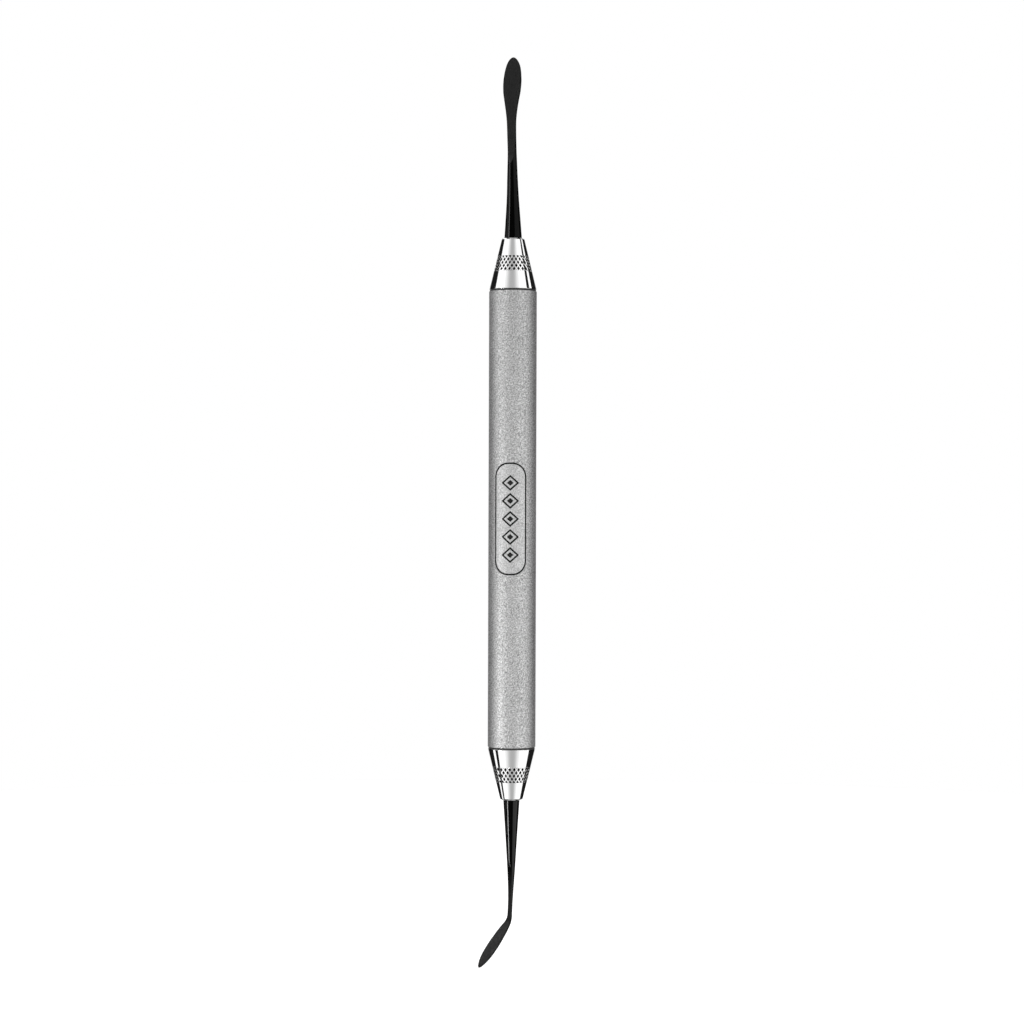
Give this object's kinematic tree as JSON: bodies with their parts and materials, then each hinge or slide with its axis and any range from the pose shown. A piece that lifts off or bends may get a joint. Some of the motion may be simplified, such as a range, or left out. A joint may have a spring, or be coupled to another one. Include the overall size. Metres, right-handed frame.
{
  "type": "clay modeling tool",
  "caption": "Double-ended hand tool: hollow round steel grip, screw-in knurled cones and black leaf blades, one straight and one bent.",
  "frame": {"origin": "middle of the round handle, on its axis", "axes": "+Z along the handle's axis towards the straight blade; -Y is the handle's engraved front; the bent blade at the -Z end leans towards -X and -Y"},
  "size_m": [0.0114, 0.0114, 0.1823],
  "materials": {
    "satin_steel": "fine bead-blasted satin",
    "polished_steel": "polished",
    "turned_steel": "machined",
    "black_coating": "satin black hard coating on steel",
    "seal_rubber": "matt black"
  },
  "bodies": {
    "handle": {"handle_tube": "satin_steel", "upper_end_bush": "turned_steel", "lower_end_bush": "turned_steel"},
    "upper_seal": {"upper_seal_ring": "seal_rubber"},
    "upper_socket": {"upper_cone_socket": "polished_steel", "upper_tip": "black_coating"},
    "lower_seal": {"lower_seal_ring": "seal_rubber"},
    "lower_socket": {"lower_cone_socket": "polished_steel", "lower_tip": "black_coating"}
  },
  "joints": [
    {"name": "upper_unscrew_travel", "type": "slide", "parent": "handle", "child": "upper_seal", "axis": [0, 0, 1], "range_m": [0, 0.0055]},
    {"name": "upper_unscrew_turn", "type": "hinge", "parent": "upper_seal", "child": "upper_socket", "pos_m": [0, 0, 0.04612], "axis": [0, 0, 1], "range_deg": [0, 1981]},
    {"name": "lower_unscrew_travel", "type": "slide", "parent": "handle", "child": "lower_seal", "axis": [0, 0, -1], "range_m": [0, 0.0055]},
    {"name": "lower_unscrew_turn", "type": "hinge", "parent": "lower_seal", "child": "lower_socket", "pos_m": [0, 0, -0.04612], "axis": [0, 0, -1], "range_deg": [0, 1981]}
  ],
  "couplings": [
    {"joint": "upper_unscrew_turn", "follows": "upper_unscrew_travel", "rad_per_m": 6283.2},
    {"joint": "lower_unscrew_turn", "follows": "lower_unscrew_travel", "rad_per_m": 6283.2}
  ]
}
